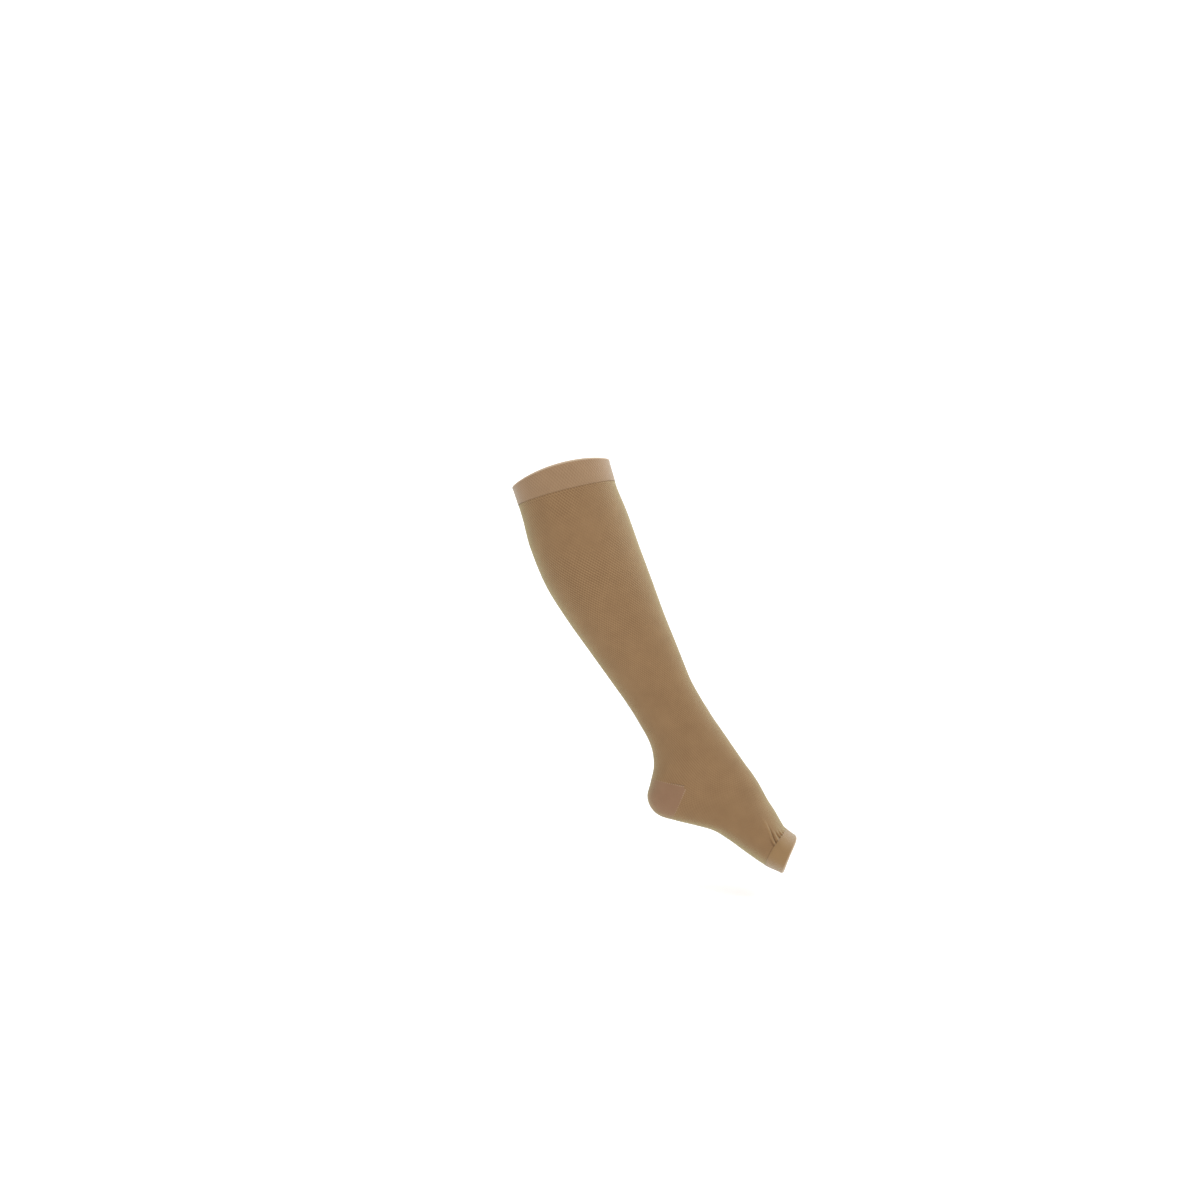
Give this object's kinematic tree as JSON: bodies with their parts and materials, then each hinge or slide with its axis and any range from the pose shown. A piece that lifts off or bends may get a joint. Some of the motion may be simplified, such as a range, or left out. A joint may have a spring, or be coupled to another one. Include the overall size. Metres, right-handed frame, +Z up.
{
  "type": "compression stocking",
  "caption": "Knee-high, open-toe compression stocking of fine beige knit, hollow as when worn: turned top band, tapering leg tube, heel pocket, foot tube and toe band.",
  "frame": {"origin": "the middle of the top rim, where the leg holds the stocking up", "axes": "+Z up, +X towards the toes, Y across the leg; the XZ plane is the plane of symmetry"},
  "size_m": [0.3171, 0.111, 0.461],
  "materials": {
    "leg_knit": "fine elastic knit, matt with a faint sheen",
    "heel_knit": "plain knit, a shade pinker, matt",
    "band_knit": "doubled knit, lighter, matt"
  },
  "bodies": {
    "root": {"top_band": "band_knit", "leg_calf": "leg_knit", "leg_shin": "leg_knit", "leg_ankle": "leg_knit", "heel": "heel_knit", "foot": "leg_knit", "toe_band": "band_knit"}
  },
  "joints": []
}
